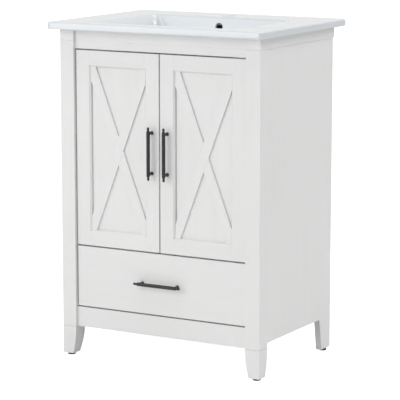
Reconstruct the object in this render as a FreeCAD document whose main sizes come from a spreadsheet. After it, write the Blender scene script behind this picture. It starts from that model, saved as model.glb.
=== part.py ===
import FreeCAD, Part
import math
import os
import re

import Sketcher

# Free-standing bathroom vanity: a one-piece ceramic basin top on a wooden cabinet
# with two inset cross-braced doors, one drawer and four feet. Millimetres, +Z up,
# +X to the right seen from the front, front face towards -Y, origin on the floor
# under the middle of the top. Every size below is a cell of the sheet "Sizes".

SIZES = {
    # whole object
    "overall_width": 615, "overall_depth": 465, "overall_height": 865,
    "side_overhang": 20, "front_overhang": 32, "back_overhang": 32,
    # ceramic top and its bowl
    "slab_edge": 18, "slab_round": 4.5, "slab_corner": 10,
    "basin_width": 418, "basin_length": 298, "basin_front_rim": 47.5,
    "basin_depth": 118, "basin_wall": 9, "basin_corner": 20,
    "rim_side_slope": 19, "rim_front_slope": 27, "rim_back_slope": 2,
    "bowl_side_slope": 34, "bowl_front_slope": 30, "bowl_back_slope": 16,
    "bowl_floor_inset": 38, "bowl_floor_drop": 14,
    "drain_radius": 22.5, "tap_radius": 17.5, "tap_setback": 47,
    "overflow_radius": 10.5, "overflow_drop": 26, "overflow_reach": 18, "overflow_boss": 46,
    # boards, posts and feet
    "board_thick": 16, "front_thick": 18, "post_width": 40, "post_depth": 43,
    "leg_height": 78.5, "leg_foot_width": 30, "leg_foot_depth": 33,
    "glide_height": 6, "glide_radius": 10, "rear_glide_radius": 9,
    "rear_leg_width": 63, "rear_leg_foot": 50, "side_edge_height": 88,
    "front_recess": 8, "side_recess": 3, "reveal": 3, "stop_gap": 2,
    "groove_width": 1.4, "band_height": 29,
    "top_rail_height": 49.5, "bottom_rail_height": 52, "drawer_front_height": 157.5,
    "back_rail_height": 90, "wall_hole_pitch": 400, "wall_hole_radius": 3,
    "wall_hole_drop": 45, "corner_brace_leg": 36, "corner_brace_thick": 19,
    "dowel_radius": 4, "dowel_fit": 0.05, "dowel_bite": 8, "dowel_reach": 18,
    "leg_dowel_radius": 5, "leg_dowel_reach": 22, "leg_dowel_shift": 3,
    "shelf_dowel_inset": 45, "rail_dowel_drop": 10, "groove_dowel_drop": 11,
    "skirt_dowel_lift": 12, "skirt_dowel_drop": 15, "back_dowel_drop": 20,
    "back_dowel_pitch": 50, "overshoot": 5,
    # doors
    "door_frame_width": 41.5, "door_panel_thick": 5, "door_panel_recess": 9,
    "panel_tongue": 3, "brace_width": 26, "brace_thick": 5,
    "frame_bevel": 4,
    # hinges
    "hinge_inset": 80, "cup_radius": 17.5, "cup_fit": 0.2, "cup_tab": 3, "cup_depth": 11.5,
    "cup_wall": 1.5, "cup_flange": 20, "cup_flange_thick": 1.2, "cup_ear_reach": 29,
    "cup_ear_width": 12, "hinge_rail_depth": 60, "hinge_plate_thick": 4,
    "hinge_plate_length": 42, "hinge_plate_height": 30, "hinge_plate_setback": 4,
    "hinge_arm_width": 12,
    "hinge_arm_height": 14, "hinge_nose_depth": 13, "hinge_gap": 0.3,
    # pulls
    "pull_pitch": 102, "pull_length": 134, "pull_radius": 4.6, "pull_tip_radius": 3,
    "pull_tip_length": 9, "pull_tip_soft": 0.9, "pull_taper": 2.5, "pull_standoff": 18,
    "pull_post_radius": 3.8, "pull_lift": 1.7,
    "pull_screw_radius": 1.9, "pull_screw_fit": 0.1, "pull_screw_bite": 10,
    "pull_screw_head": 4, "pull_screw_head_thick": 2.4, "pull_screw_clear": 2.3,
    # drawer and its slides
    "drawer_side_lift": 4, "drawer_side_height": 120, "drawer_side_thick": 12,
    "drawer_box_depth": 330, "drawer_bottom_thick": 5, "drawer_bottom_lift": 8,
    "drawer_groove": 5, "slide_thick": 12.7, "slide_length": 300, "slide_height": 45,
    "slide_metal": 1.2, "slide_play": 0.5, "slide_lift": 40, "slide_setback": 4,
    "slide_middle_start": 2.4, "slide_flange": 8.5, "slide_outer_flange": 9.5,
    "cleat_height": 70,
}

# Places worked out from the sizes above.
PLACES = {
    "half_width": "overall_width / 2 - side_overhang",
    "front_face": "front_overhang - overall_depth / 2",
    "back_face": "overall_depth / 2 - back_overhang",
    "back_inner": "back_face - board_thick",
    "cabinet_top": "overall_height - slab_edge",
    "groove_level": "cabinet_top - band_height",
    "post_inner": "half_width - post_width",
    "post_back": "front_face + post_depth",
    "infill_front": "front_face + front_recess",
    "infill_back": "infill_front + front_thick",
    "infill_middle": "infill_front + front_thick / 2",
    "back_middle": "back_face - board_thick / 2",
    "carcass_front": "infill_back + stop_gap",
    "board_outer": "half_width - side_recess",
    "board_inner": "board_outer - board_thick",
    "bottom_low": "side_edge_height",
    "bottom_high": "bottom_low + board_thick",
    "drawer_low": "leg_height + bottom_rail_height + reveal",
    "drawer_high": "drawer_low + drawer_front_height",
    "door_low": "drawer_high + reveal",
    "door_high": "cabinet_top - top_rail_height - reveal",
    "shelf_low": "drawer_high + reveal / 2 - board_thick / 2",
    "shelf_high": "shelf_low + board_thick",
    "dowel_front": "post_back + shelf_dowel_inset",
    "dowel_rear": "back_inner - shelf_dowel_inset",
    "back_dowel_high": "cabinet_top - back_dowel_drop",
    # doors: outer edge, stiles and the opening that the panel and braces fill
    "door_inner": "reveal / 2",
    "door_outer": "post_inner - reveal",
    "open_near": "door_inner + door_frame_width",
    "open_far": "door_outer - door_frame_width",
    "open_low": "door_low + door_frame_width",
    "open_high": "door_high - door_frame_width",
    "panel_front": "infill_front + door_panel_recess",
    "panel_back": "panel_front + door_panel_thick",
    "brace_front": "panel_front - brace_thick",
    "open_wide": "open_far - open_near",
    "open_tall": "open_high - open_low",
    "open_diagonal": "sqrt(open_wide * open_wide + open_tall * open_tall)",
    "brace_foot": "brace_width / 2 * open_diagonal / open_tall",
    "brace_rise": "brace_width / 2 * open_diagonal / open_wide",
    "stile_middle": "door_inner + door_frame_width / 2",
    "door_middle": "(door_low + door_high) / 2",
    "cup_place": "door_outer - cup_tab - cup_radius",
    "arm_front": "infill_back + cup_flange_thick + hinge_gap",
    "pull_axis": "infill_front - pull_standoff",
    # bowl
    "basin_front": "basin_front_rim - overall_depth / 2",
    "basin_back": "basin_front + basin_length",
    "basin_floor": "overall_height - basin_depth",
    "basin_middle": "(basin_front + basin_back) / 2",
    "overflow_level": "overall_height - overflow_drop",
    # drawer
    "box_outer": "post_inner - slide_thick",
    "box_inner": "box_outer - drawer_side_thick",
    "box_low": "drawer_low + drawer_side_lift",
    "box_high": "box_low + drawer_side_height",
    "box_back": "infill_back + drawer_box_depth",
    "box_floor": "box_low + drawer_bottom_lift",
    "slide_level": "box_low + slide_lift",
    "slide_front": "infill_back + slide_setback",
    "drawer_pull_level": "(drawer_low + drawer_high) / 2",
}

doc = FreeCAD.newDocument("vanity")
sheet = doc.addObject("Spreadsheet::Sheet", "Sizes")
for row, (alias, value) in enumerate(SIZES.items(), start=1):
    sheet.set(f"A{row}", alias)
    sheet.set(f"B{row}", str(value))
    sheet.setAlias(f"B{row}", alias)
doc.recompute()

nodes = []


def formula(text):
    """Writes an expression out in cells of the sheet, place names expanded."""
    def spell(match):
        word = match.group(0)
        if word in PLACES:
            return "(" + formula(PLACES[word]) + ")"
        return "Sizes." + word if word in SIZES else word
    return re.sub(r"[a-z][a-z_]*", spell, str(text))


def bind(thing, name, text):
    """Ties one property to an expression in the sheet's cells."""
    thing.setExpression(name, formula(text))


def place(thing, x, y, z):
    """Ties an object's position to three expressions."""
    for letter, text in zip("xyz", (x, y, z)):
        bind(thing, "Placement.Base." + letter, text)


def node(thing, label):
    """Names an object as a sub-part, which is also its file's name."""
    thing.Label = label
    nodes.append(thing)
    return thing


def sided(side, near, far):
    """The X range of a piece on the right (side 1) or mirrored on the left (-1)."""
    return (near, far) if side > 0 else (f"-({far})", f"-({near})")


def at_side(side, text):
    """An X place on the right (side 1) or mirrored on the left (-1)."""
    return text if side > 0 else f"-({text})"


def board(name, x, y, z):
    """A rectangular piece between two expressions along each axis."""
    piece = doc.addObject("Part::Box", name)
    for size, (low, high) in zip(("Length", "Width", "Height"), (x, y, z)):
        bind(piece, size, f"({high}) - ({low})")
    place(piece, x[0], y[0], z[0])
    return piece


def rod(name, axis, start, radius, length):
    """A cylinder from a start point along +X, +Y or +Z."""
    piece = doc.addObject("Part::Cylinder", name)
    bind(piece, "Radius", radius)
    bind(piece, "Height", length)
    turn = {"X": ((0, 1, 0), 90), "Y": ((1, 0, 0), -90), "Z": ((0, 0, 1), 0)}[axis]
    piece.Placement.Rotation = FreeCAD.Rotation(FreeCAD.Vector(*turn[0]), turn[1])
    place(piece, *start)
    return piece


def group(name, pieces):
    """Several separate solids kept as one object."""
    whole = doc.addObject("Part::Compound", name)
    whole.Links = pieces
    return whole


def cut(name, base, tools):
    """The base with every tool taken out of it."""
    piece = doc.addObject("Part::Cut", name)
    piece.Base = base
    piece.Tool = tools[0] if len(tools) == 1 else group(name + "_tools", tools)
    return piece


def fuse(name, pieces):
    """Pieces joined into one solid."""
    whole = doc.addObject("Part::MultiFuse", name)
    whole.Shapes = pieces
    return whole


def common(name, first, second):
    """What two solids share."""
    piece = doc.addObject("Part::Common", name)
    piece.Base, piece.Tool = first, second
    return piece


def origin_plane(body, role):
    """One of a body's own origin planes, found by its role."""
    return [feature for feature in body.Origin.OriginFeatures if feature.Role == role][0]


def sketch_on(body, name, plane, level):
    """An empty sketch on a body's XY, XZ or YZ plane, moved along its normal."""
    sketch = body.newObject("Sketcher::SketchObject", name)
    sketch.AttachmentSupport = (origin_plane(body, plane + "_Plane"), [""])
    sketch.MapMode = "FlatFace"
    bind(sketch, "AttachmentOffset.Base.z", f"-({level})" if plane == "XZ" else level)
    return sketch


def pin_point(sketch, geometry, end, x, y):
    """Holds one point of a sketch at two expressions."""
    for kind, text in (("DistanceX", x), ("DistanceY", y)):
        index = sketch.addConstraint(Sketcher.Constraint(kind, -1, 1, geometry, end, 1.0))
        bind(sketch, f"Constraints[{index}]", text)


def draw_outline(sketch, points):
    """A closed outline of straight edges through points given as expressions."""
    count = len(points)
    ring = Part.makeCircle(100).discretize(count + 1)
    for start, finish in zip(ring, ring[1:]):
        sketch.addGeometry(Part.LineSegment(start, finish), False)
    for index, (x, y) in enumerate(points):
        pin_point(sketch, index, 1, x, y)
        follower = (index + 1) % count
        sketch.addConstraint(Sketcher.Constraint("Coincident", index, 2, follower, 1))


def draw_rounded(sketch, half, low, high, radius):
    """A rectangle, even about the Y axis, with four equal rounded corners."""
    out, up, turn = 150.0, 100.0, 20.0
    arcs = []
    for quarter, (x, y) in enumerate(((1, 1), (-1, 1), (-1, -1), (1, -1))):
        centre = FreeCAD.Vector(x * (out - turn), y * (up - turn), 0)
        circle = Part.Circle(centre, FreeCAD.Vector(0, 0, 1), turn)
        start = quarter * math.pi / 2
        arc = Part.ArcOfCircle(circle, start, start + math.pi / 2)
        arcs.append(sketch.addGeometry(arc, False))
    sides = []
    for index, arc in enumerate(arcs):
        follower = arcs[(index + 1) % 4]
        edge = Part.LineSegment(sketch.getPoint(arc, 2), sketch.getPoint(follower, 1))
        sides.append(sketch.addGeometry(edge, False))
        sketch.addConstraint(Sketcher.Constraint("Tangent", arc, 2, sides[-1], 1))
        sketch.addConstraint(Sketcher.Constraint("Tangent", sides[-1], 2, follower, 1))
        kind = "Vertical" if index % 2 else "Horizontal"
        sketch.addConstraint(Sketcher.Constraint(kind, sides[-1]))
    for arc in arcs[1:]:
        sketch.addConstraint(Sketcher.Constraint("Equal", arcs[0], arc))
    rules = (("Radius", (arcs[0],), turn, radius),
             ("DistanceY", (-1, 1, sides[0], 1), up, high),
             ("DistanceX", (-1, 1, sides[1], 1), -out, f"-({half})"),
             ("DistanceY", (-1, 1, sides[2], 1), -up, low),
             ("DistanceX", (-1, 1, sides[3], 1), out, half))
    for kind, target, drawn, text in rules:
        index = sketch.addConstraint(Sketcher.Constraint(kind, *target, drawn))
        bind(sketch, f"Constraints[{index}]", text)


def outline_body(name, plane, low, high, points):
    """A straight-edged outline padded between two levels along its plane's normal."""
    body = doc.addObject("PartDesign::Body", name)
    sketch = sketch_on(body, name + "_sketch", plane, high if plane == "XZ" else low)
    draw_outline(sketch, points)
    pad = body.newObject("PartDesign::Pad", name + "_pad")
    pad.Profile = sketch
    bind(pad, "Length", f"({high}) - ({low})")
    return body


def groove_bar(name, axis, start, length):
    """A square bar on its corner, which cuts a V groove centred on its start line."""
    bar = doc.addObject("Part::Box", name)
    direction, long_side = {"X": ((1, 0, 0), "Length"), "Y": ((0, 1, 0), "Width")}[axis]
    bar.Placement.Rotation = FreeCAD.Rotation(FreeCAD.Vector(*direction), 45)
    for size in ("Length", "Width", "Height"):
        bind(bar, size, length if size == long_side else "groove_width / sqrt(2)")
    x, y, z = start
    if axis == "X":
        place(bar, x, y, f"({z}) - groove_width / 2")
    else:
        place(bar, f"({x}) - groove_width / 2", y, z)
    return bar


# Ceramic top: a slab with rounded edges and a bowl hung below it. The bowl's walls
# run through four rounded rectangles; its outside is the same shape one wall larger.
SECTIONS = [
    ("overall_height", "basin_width / 2", "basin_front", "basin_back", "basin_corner"),
    ("cabinet_top", "basin_width / 2 - rim_side_slope", "basin_front + rim_front_slope",
     "basin_back - rim_back_slope", "basin_corner"),
    ("basin_floor + bowl_floor_drop",
     "basin_width / 2 - rim_side_slope - bowl_side_slope",
     "basin_front + rim_front_slope + bowl_front_slope",
     "basin_back - rim_back_slope - bowl_back_slope", "basin_corner"),
    ("basin_floor", "basin_width / 2 - rim_side_slope - bowl_side_slope - bowl_floor_inset",
     "basin_front + rim_front_slope + bowl_front_slope + bowl_floor_inset",
     "basin_back - rim_back_slope - bowl_back_slope - bowl_floor_inset",
     "basin_corner - basin_wall"),
]


def bowl_sketches(body, name, wall, drop):
    """The bowl's levels as rounded rectangles, each a wall larger, the lowest dropped."""
    levels = SECTIONS[1:] if drop else SECTIONS
    for index, (level, half, low, high, radius) in enumerate(levels):
        last = f"({level}) - ({drop})" if drop and index == len(levels) - 1 else level
        sketch = sketch_on(body, f"{name}_{index}", "XY", last)
        draw_rounded(sketch, f"{half} + {wall}", f"{low} - ({wall})",
                     f"{high} + {wall}", f"{radius} + {wall}")
        yield sketch


def loft(body, kind, name, sketches):
    """Straight walls from each sketch to the next."""
    first, *rest = sketches
    piece = body.newObject("PartDesign::" + kind, name)
    piece.Profile = first
    piece.Sections = rest
    piece.Ruled = True
    return piece


def make_vanity_top():
    slab_body = doc.addObject("PartDesign::Body", "top_slab")
    outline = sketch_on(slab_body, "top_outline", "XY", "cabinet_top")
    draw_rounded(outline, "overall_width / 2", "-overall_depth / 2", "overall_depth / 2",
                 "slab_corner")
    slab = slab_body.newObject("PartDesign::Pad", "top_pad")
    slab.Profile = outline
    bind(slab, "Length", "slab_edge")
    doc.recompute()
    top_level = max(vertex.Z for vertex in slab.Shape.Vertexes)
    edges = [f"Edge{index}" for index, edge in enumerate(slab.Shape.Edges, start=1)
             if all(abs(vertex.Z - top_level) < 1e-6 for vertex in edge.Vertexes)]
    rounding = slab_body.newObject("PartDesign::Fillet", "top_rounding")
    rounding.Base = (slab, edges)
    bind(rounding, "Radius", "slab_round")

    shell = doc.addObject("PartDesign::Body", "bowl_outside")
    loft(shell, "AdditiveLoft", "bowl_outside_loft",
         list(bowl_sketches(shell, "bowl_outer", "basin_wall", "basin_wall")))
    hollow = doc.addObject("PartDesign::Body", "bowl_inside")
    loft(hollow, "AdditiveLoft", "bowl_inside_loft",
         list(bowl_sketches(hollow, "bowl_inner", "0", "")))

    boss = board("overflow_channel", ("-overflow_boss / 2", "overflow_boss / 2"),
                 ("basin_middle", "basin_back + overflow_reach + basin_wall"),
                 ("overflow_level - overflow_boss", "cabinet_top"))
    whole = fuse("top_blank", [slab_body, shell, boss])
    overflow = rod("overflow_hole", "Y", ("0", "basin_middle", "overflow_level"),
                   "overflow_radius", "basin_back - basin_middle + overflow_reach - basin_wall")
    drain = rod("drain_hole", "Z", ("0", "basin_middle", "basin_floor - 2 * basin_wall"),
                "drain_radius", "3 * basin_wall")
    tap = rod("tap_hole", "Z", ("0", "basin_back + tap_setback", "cabinet_top - overshoot"),
              "tap_radius", "slab_edge + 2 * overshoot")
    return cut("vanity_top", whole, [hollow, overflow, drain, tap])


node(make_vanity_top(), "vanity_top")

# Dowels: each joint's holes and its beech pins share one site. An end site lies
# along X through a board's end into the upright beside it.
dowels = []


def end_dowels(name, side, upright, spots):
    """Holes for the pins between a board's end and its upright, pins kept for later."""
    holes = []
    for index, (y, z) in enumerate(spots):
        reach = "dowel_bite + dowel_reach"
        start = (f"{upright} - dowel_reach" if side > 0 else f"-({upright}) - dowel_bite")
        label = f"{name}_{index}"
        holes.append(rod(label + "_hole", "X", (start, y, z), "dowel_radius", reach))
        dowels.append(rod(label + "_pin", "X", (start, y, z), "dowel_radius - dowel_fit", reach))
    return holes


JOINTS = {
    "shelf": ("board_inner", [("dowel_front", "shelf_low + board_thick / 2"),
                              ("dowel_rear", "shelf_low + board_thick / 2")]),
    "bottom": ("board_inner", [("dowel_front", "bottom_low + board_thick / 2"),
                               ("dowel_rear", "bottom_low + board_thick / 2")]),
    "top_rail": ("post_inner", [("infill_middle", "cabinet_top - rail_dowel_drop"),
                                ("infill_middle", "groove_level - groove_dowel_drop")]),
    "bottom_rail": ("post_inner", [("infill_middle", "leg_height + skirt_dowel_lift"),
                                   ("infill_middle", "drawer_low - skirt_dowel_drop")]),
    "back_rail": ("board_inner", [("back_middle", "back_dowel_high"),
                                  ("back_middle", "back_dowel_high - back_dowel_pitch")]),
}
SIDES = {"left": -1, "right": 1}
end_holes = {(joint, hand): end_dowels(f"{joint}_{hand}", side, *JOINTS[joint])
             for joint in JOINTS for hand, side in SIDES.items()}


def both_ends(joint):
    return end_holes[joint, "left"] + end_holes[joint, "right"]


def foot_curve(width, foot):
    """Radius of an inner face that is upright at the foot's top and comes in below."""
    tall = "(leg_height - glide_height)"
    return f"({tall} * {tall} + ({width} - {foot}) * ({width} - {foot})) / (2 * ({width} - {foot}))"


def make_foot(hand, side, bars):
    """A front foot: outer faces upright, both inner faces curving in to a smaller sole."""
    low, high = sided(side, "post_inner", "half_width")
    blank = board(f"foot_{hand}", (low, high), ("front_face", "post_back"),
                  ("glide_height", "leg_height"))
    inner = foot_curve("post_width", "leg_foot_width")
    rear = foot_curve("post_depth", "leg_foot_depth")
    barrels = [rod(f"foot_inner_{hand}", "Y",
                   (at_side(side, f"post_inner + {inner}"), "front_face - overshoot", "leg_height"),
                   inner, "post_depth + 2 * overshoot"),
               rod(f"foot_rear_{hand}", "X",
                   (f"({low}) - overshoot", f"post_back - {rear}", "leg_height"),
                   rear, "post_width + 2 * overshoot")]
    shaped = common(f"foot_shape_{hand}", common(f"foot_side_{hand}", blank, barrels[0]), barrels[1])
    return cut(f"foot_{hand}_cut", shaped, bars)


def make_posts():
    """Front corner posts, their feet and the dowel that joins each pair."""
    pins = []
    for hand, side in SIDES.items():
        x = sided(side, "post_inner", "half_width")
        middle = (at_side(side, "(post_inner + half_width) / 2 + leg_dowel_shift"),
                  "front_face + post_depth / 2 - leg_dowel_shift")
        hole = rod(f"leg_hole_{hand}", "Z", (*middle, "leg_height - leg_dowel_reach"),
                   "leg_dowel_radius", "2 * leg_dowel_reach")
        pins.append(rod(f"leg_pin_{hand}", "Z", (*middle, "leg_height - leg_dowel_reach"),
                        "leg_dowel_radius - dowel_fit", "2 * leg_dowel_reach"))
        outer = at_side(side, "half_width")
        bars = {level: [groove_bar(f"front_{level}_{hand}", "X",
                                   (f"({x[0]}) - overshoot", "front_face", level),
                                   "post_width + 2 * overshoot"),
                        groove_bar(f"side_{level}_{hand}", "Y",
                                   (outer, "front_face - overshoot", level), "overall_depth")]
                for level in ("groove_level", "leg_height")}
        blank = board(f"post_{hand}", x, ("front_face", "post_back"), ("leg_height", "cabinet_top"))
        rails = end_holes["top_rail", hand] + end_holes["bottom_rail", hand]
        node(cut(f"post_{hand}_cut", blank,
                 bars["groove_level"] + bars["leg_height"] + rails + [hole]), f"front_post_{hand}")
        node(make_foot(hand, side, bars["leg_height"] + [hole]), f"front_leg_{hand}")
        rail = board(f"side_rail_{hand}", sided(side, "board_inner", "half_width"),
                     ("post_back", "back_face"), ("groove_level", "cabinet_top"))
        rear = end_holes["back_rail", hand][:1]
        node(cut(f"side_rail_{hand}_cut", rail, bars["groove_level"][1:] + rear),
             f"side_top_rail_{hand}")
    node(group("leg_pins", pins), "leg_dowels")


def make_side_panels():
    """Side boards, each running down at the back into a rear foot."""
    for hand, side in SIDES.items():
        low, high = sided(side, "board_inner", "board_outer")
        blank = outline_body(f"side_{hand}", "YZ", low, high, [
            ("post_back", "side_edge_height"), ("back_face - rear_leg_width", "side_edge_height"),
            ("back_face - rear_leg_foot", "glide_height"), ("back_face", "glide_height"),
            ("back_face", "groove_level"), ("post_back", "groove_level")])
        holes = end_holes["shelf", hand] + end_holes["bottom", hand] + end_holes["back_rail", hand][1:]
        node(cut(f"side_{hand}_cut", blank, holes), f"side_panel_{hand}")


def make_rails_and_boards():
    """Front rails, shelf over the drawer, bottom, and the two boards at the back."""
    between = ("-post_inner", "post_inner")
    inside = ("-board_inner", "board_inner")
    infill = ("infill_front", "infill_back")
    rail = board("front_rail", between, infill, ("cabinet_top - top_rail_height", "cabinet_top"))
    line = groove_bar("rail_groove", "X", ("-post_inner", "infill_front", "groove_level"),
                      "2 * post_inner")
    node(cut("front_rail_cut", rail, [line] + both_ends("top_rail")), "front_top_rail")
    skirt = board("front_skirt", between, infill,
                  ("leg_height", "leg_height + bottom_rail_height"))
    node(cut("front_skirt_cut", skirt, both_ends("bottom_rail")), "front_bottom_rail")

    for name, joint, low, high, front in (
            ("cabinet_shelf", "shelf", "shelf_low", "shelf_high", "carcass_front"),
            ("bottom_panel", "bottom", "bottom_low", "bottom_high", "infill_back")):
        blank = outline_body(joint + "_blank", "XY", low, high, [
            ("-post_inner", front), ("post_inner", front), ("post_inner", "post_back"),
            ("board_inner", "post_back"), ("board_inner", "back_face"),
            ("-board_inner", "back_face"), ("-board_inner", "post_back"),
            ("-post_inner", "post_back")])
        node(cut(joint + "_cut", blank, both_ends(joint)), name)

    back = ("back_inner", "back_face")
    node(board("lower_back", inside, back, ("bottom_high", "shelf_low")), "back_panel")
    top_rail = board("upper_back", inside, back, ("cabinet_top - back_rail_height", "cabinet_top"))
    holes = [rod(f"wall_hole_{hand}", "Y",
                 (at_side(side, "wall_hole_pitch / 2"), "back_inner - overshoot",
                  "cabinet_top - wall_hole_drop"), "wall_hole_radius",
                 "board_thick + 2 * overshoot")
             for hand, side in SIDES.items()]
    node(cut("upper_back_cut", top_rail, holes + both_ends("back_rail")), "back_top_rail")


def make_corner_braces():
    """Moulded triangles in the top corners, which the ceramic is bedded on."""
    braces = []
    leg = "corner_brace_leg"
    for hand, side in SIDES.items():
        for name, x, y, inward in (("front", "post_inner", "infill_back", 1),
                                   ("rear", "board_inner", "back_inner", -1)):
            near = at_side(side, x)
            far = at_side(side, f"{x} - {leg}")
            braces.append(outline_body(
                f"{name}_brace_{hand}", "XY", "cabinet_top - corner_brace_thick", "cabinet_top",
                [(near, y), (far, y), (near, f"{y} + {inward} * {leg}")]))
    node(group("braces", braces), "corner_braces")


def make_glides():
    """Plastic glides under the two front feet and the two rear ones."""
    glides = []
    for hand, side in SIDES.items():
        spots = (("front", "half_width - leg_foot_width / 2", "front_face + leg_foot_depth / 2",
                  "glide_radius"),
                 ("rear", "board_outer - board_thick / 2", "back_face - rear_leg_foot / 2",
                  "rear_glide_radius"))
        glides += [rod(f"{name}_glide_{hand}", "Z", (at_side(side, x), y, "0"), radius,
                       "glide_height") for name, x, y, radius in spots]
    node(group("glides", glides), "foot_glides")


make_posts()
make_side_panels()
make_rails_and_boards()
node(group("carcass_pins", dowels), "carcass_dowels")
make_corner_braces()
make_glides()


def make_hinge_fixings():
    """Upright rails behind the posts, and the arm and plate of each concealed hinge."""
    arms = []
    for hand, side in SIDES.items():
        node(board(f"hinge_rail_{hand}_board", sided(side, "post_inner", "board_inner"),
                   ("post_back", "post_back + hinge_rail_depth"),
                   ("shelf_high", "cabinet_top")), f"hinge_rail_{hand}")
        for name, level in (("lower", "door_low + hinge_inset"),
                            ("upper", "door_high - hinge_inset")):
            face = at_side(side, "post_inner")
            inner = at_side(side, "post_inner - hinge_plate_thick")
            reach = at_side(side, "post_inner - hinge_plate_thick - hinge_arm_width")
            nose = at_side(side, "cup_place - hinge_nose_depth / 2")
            end = "post_back + hinge_plate_length"
            arm = outline_body(f"{name}_arm_{hand}", "XY", f"{level} - hinge_arm_height / 2",
                               f"{level} + hinge_arm_height / 2", [
                                   (nose, "arm_front"), (inner, "arm_front"), (inner, end),
                                   (reach, end), (reach, "post_back"),
                                   (nose, "arm_front + hinge_nose_depth / 2")])
            plate = board(f"{name}_plate_{hand}",
                          sided(side, "post_inner - hinge_plate_thick", "post_inner"),
                          ("post_back + hinge_plate_setback", end),
                          (f"{level} - hinge_plate_height / 2", f"{level} + hinge_plate_height / 2"))
            arms.append(fuse(f"{name}_hinge_{hand}", [arm, plate]))
    node(group("hinge_arm_set", arms), "hinge_arms")


def make_pull(body_name, axis, middle):
    """A bar pull with slim ends: bar, two posts and the screws from behind the front.

    The middle is the point of the front's face under the middle of the bar, as
    expressions; the bar lies along Z on a door and along X on the drawer.
    """
    x, z = middle
    bar_body = doc.addObject("PartDesign::Body", body_name + "_bar")
    sketch = sketch_on(bar_body, body_name + "_bar_sketch", "XZ", "0")
    half, tip = "pull_length / 2", "pull_length / 2 - pull_tip_length"
    draw_outline(sketch, [
        ("0", f"-({half})"), ("pull_tip_radius - pull_tip_soft", f"-({half})"),
        ("pull_tip_radius", f"-({half}) + pull_tip_soft"),
        ("pull_tip_radius", f"-({tip})"), ("pull_radius", f"-({tip}) + pull_taper"),
        ("pull_radius", f"{tip} - pull_taper"), ("pull_tip_radius", tip),
        ("pull_tip_radius", f"{half} - pull_tip_soft"),
        ("pull_tip_radius - pull_tip_soft", half), ("0", half)])
    turned = bar_body.newObject("PartDesign::Revolution", body_name + "_bar_turned")
    turned.Profile = sketch
    turned.ReferenceAxis = (sketch, ["V_Axis"])
    turned.Angle = 360
    if axis == "X":
        bar_body.Placement.Rotation = FreeCAD.Rotation(FreeCAD.Vector(0, 1, 0), 90)
    place(bar_body, x, "pull_axis", z)
    posts, holes, screws = [], [], []
    for index, sign in enumerate((-1, 1)):
        shift = f"{sign} * pull_pitch / 2"
        px, pz = (x, f"({z}) + {shift}") if axis == "Z" else (f"({x}) + {shift}", z)
        name = f"{body_name}_{index}"
        blank = rod(name + "_blank", "Y", (px, "pull_axis", pz), "pull_post_radius", "pull_standoff")
        tapped = rod(name + "_tapped", "Y", (px, "infill_front - pull_screw_bite", pz),
                     "pull_screw_radius + pull_screw_fit", "pull_screw_bite")
        posts.append(cut(name + "_post", blank, [bar_body, tapped]))
        holes.append(rod(name + "_hole", "Y", (px, "infill_front - overshoot", pz), "pull_screw_clear",
                         "front_thick + 2 * overshoot"))
        shank = rod(name + "_shank", "Y", (px, "infill_front - pull_screw_bite", pz),
                    "pull_screw_radius", "pull_screw_bite + front_thick")
        head = rod(name + "_head", "Y", (px, "infill_back", pz), "pull_screw_head",
                   "pull_screw_head_thick")
        screws.append(fuse(name + "_screw", [shank, head]))
    node(bar_body, body_name + "_pull_bar")
    node(group(body_name + "_posts", posts), body_name + "_pull_posts")
    node(group(body_name + "_screws", screws), body_name + "_pull_screws")
    return holes


def opening_bevel(name, span):
    """What the router takes off the frame's front edges, all round the opening."""
    waste = doc.addObject("Part::Wedge", name)
    wide = "(frame_bevel + overshoot)"
    for size, text in {
            "Xmin": f"{span[0]} - {wide}", "Xmax": f"{span[1]} + {wide}",
            "Zmin": f"open_low - {wide}", "Zmax": f"open_high + {wide}",
            "Ymin": "infill_front - overshoot", "Ymax": "infill_front + frame_bevel",
            "X2min": span[0], "X2max": span[1], "Z2min": "open_low",
            "Z2max": "open_high"}.items():
        bind(waste, size, text)
    return waste


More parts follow.
